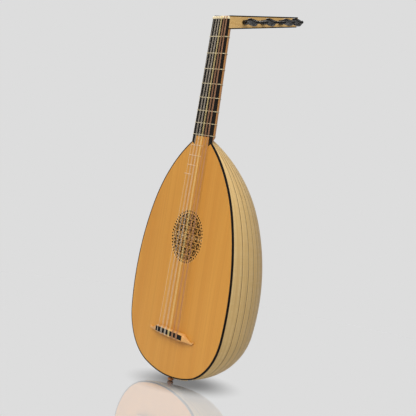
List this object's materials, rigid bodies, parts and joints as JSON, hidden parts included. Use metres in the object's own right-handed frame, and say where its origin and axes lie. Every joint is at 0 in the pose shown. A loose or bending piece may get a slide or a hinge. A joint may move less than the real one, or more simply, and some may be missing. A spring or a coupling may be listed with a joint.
{
  "type": "lute",
  "caption": "Round-backed plucked lute with a ribbed bowl, carved rose, tied gut frets, and a bent-back pegbox with turning pegs.",
  "frame": {"origin": "on the centre plane, below the middle of the bounding box, level with the lowest point of the end button", "axes": "+Z from the tail along the neck to the pegbox, soundboard facing -Y, treble side towards -X"},
  "size_m": [0.3218, 0.1794, 0.7369],
  "materials": {
    "rib_maple": "satin",
    "spruce_top": "satin",
    "bar_spruce": "raw",
    "neck_wood": "satin",
    "pegbox_maple": "satin",
    "bridge_wood": "satin",
    "ebony": "satin",
    "black_binding": "satin",
    "button_wood": "satin",
    "fret_wood": "satin",
    "bone": "satin",
    "gut": "satin",
    "plain_string": "gloss",
    "gut_string": "gloss",
    "wound_string": "gloss"
  },
  "bodies": {
    "instrument": {"ribs_01": "rib_maple", "ribs_02": "rib_maple", "ribs_03": "rib_maple", "ribs_04": "rib_maple", "ribs_05": "rib_maple", "ribs_06": "rib_maple", "ribs_07": "rib_maple", "ribs_08": "rib_maple", "ribs_09": "rib_maple", "ribs_10": "rib_maple", "ribs_11": "rib_maple", "ribs_12": "rib_maple", "ribs_13": "rib_maple", "course_1": "plain_string", "course_2": "plain_string", "course_3": "plain_string", "course_4": "gut_string", "course_5": "wound_string", "course_6": "wound_string", "soundboard": "spruce_top", "soundboard_bars": "bar_spruce", "edge_binding": "black_binding", "neck_block": "bar_spruce", "end_lining": "bar_spruce", "end_clasp": "rib_maple", "end_button": "button_wood", "neck": "neck_wood", "fingerboard": "ebony", "nut": "bone", "body_frets": "fret_wood", "bridge": "bridge_wood", "bridge_facing": "ebony", "cheek_treble": "pegbox_maple", "cheek_bass": "pegbox_maple", "pegbox_floor": "pegbox_maple", "pegbox_block": "pegbox_maple", "pegbox_end": "pegbox_maple", "pegbox_back": "black_binding", "cheek_edging": "black_binding"},
    "peg_01": {"peg_01": "ebony"},
    "peg_02": {"peg_02": "ebony"},
    "peg_03": {"peg_03": "ebony"},
    "peg_04": {"peg_04": "ebony"},
    "peg_05": {"peg_05": "ebony"},
    "peg_06": {"peg_06": "ebony"},
    "peg_07": {"peg_07": "ebony"},
    "peg_08": {"peg_08": "ebony"},
    "peg_09": {"peg_09": "ebony"},
    "peg_10": {"peg_10": "ebony"},
    "peg_11": {"peg_11": "ebony"},
    "fret_1": {"fret_1": "gut"},
    "fret_2": {"fret_2": "gut"},
    "fret_3": {"fret_3": "gut"},
    "fret_4": {"fret_4": "gut"},
    "fret_5": {"fret_5": "gut"},
    "fret_6": {"fret_6": "gut"},
    "fret_7": {"fret_7": "gut"},
    "fret_8": {"fret_8": "gut"}
  },
  "joints": [
    {"name": "peg_01_turn", "type": "hinge", "parent": "instrument", "child": "peg_01", "pos_m": [0, -0.04279, 0.70083], "axis": [1, 0, 0], "continuous": true},
    {"name": "peg_02_turn", "type": "hinge", "parent": "instrument", "child": "peg_02", "pos_m": [0, -0.03189, 0.70297], "axis": [-1, 0, 0], "continuous": true},
    {"name": "peg_03_turn", "type": "hinge", "parent": "instrument", "child": "peg_03", "pos_m": [0, -0.02099, 0.7051], "axis": [1, 0, 0], "continuous": true},
    {"name": "peg_04_turn", "type": "hinge", "parent": "instrument", "child": "peg_04", "pos_m": [0, -0.01009, 0.70724], "axis": [-1, 0, 0], "continuous": true},
    {"name": "peg_05_turn", "type": "hinge", "parent": "instrument", "child": "peg_05", "pos_m": [0, 0.00081, 0.70938], "axis": [1, 0, 0], "continuous": true},
    {"name": "peg_06_turn", "type": "hinge", "parent": "instrument", "child": "peg_06", "pos_m": [0, 0.01171, 0.71151], "axis": [-1, 0, 0], "continuous": true},
    {"name": "peg_07_turn", "type": "hinge", "parent": "instrument", "child": "peg_07", "pos_m": [0, 0.02261, 0.71365], "axis": [1, 0, 0], "continuous": true},
    {"name": "peg_08_turn", "type": "hinge", "parent": "instrument", "child": "peg_08", "pos_m": [0, 0.03351, 0.71579], "axis": [-1, 0, 0], "continuous": true},
    {"name": "peg_09_turn", "type": "hinge", "parent": "instrument", "child": "peg_09", "pos_m": [0, 0.04441, 0.71792], "axis": [1, 0, 0], "continuous": true},
    {"name": "peg_10_turn", "type": "hinge", "parent": "instrument", "child": "peg_10", "pos_m": [0, 0.05531, 0.72006], "axis": [-1, 0, 0], "continuous": true},
    {"name": "peg_11_turn", "type": "hinge", "parent": "instrument", "child": "peg_11", "pos_m": [0, 0.06621, 0.7222], "axis": [1, 0, 0], "continuous": true},
    {"name": "fret_1_shift", "type": "slide", "parent": "instrument", "child": "fret_1", "axis": [0, 0, 1], "range_m": [-0.002, 0.002]},
    {"name": "fret_2_shift", "type": "slide", "parent": "instrument", "child": "fret_2", "axis": [0, 0, 1], "range_m": [-0.002, 0.002]},
    {"name": "fret_3_shift", "type": "slide", "parent": "instrument", "child": "fret_3", "axis": [0, 0, 1], "range_m": [-0.002, 0.002]},
    {"name": "fret_4_shift", "type": "slide", "parent": "instrument", "child": "fret_4", "axis": [0, 0, 1], "range_m": [-0.002, 0.002]},
    {"name": "fret_5_shift", "type": "slide", "parent": "instrument", "child": "fret_5", "axis": [0, 0, 1], "range_m": [-0.002, 0.002]},
    {"name": "fret_6_shift", "type": "slide", "parent": "instrument", "child": "fret_6", "axis": [0, 0, 1], "range_m": [-0.002, 0.002]},
    {"name": "fret_7_shift", "type": "slide", "parent": "instrument", "child": "fret_7", "axis": [0, 0, 1], "range_m": [-0.002, 0.002]},
    {"name": "fret_8_shift", "type": "slide", "parent": "instrument", "child": "fret_8", "axis": [0, 0, 1], "range_m": [0, 0.002]}
  ]
}
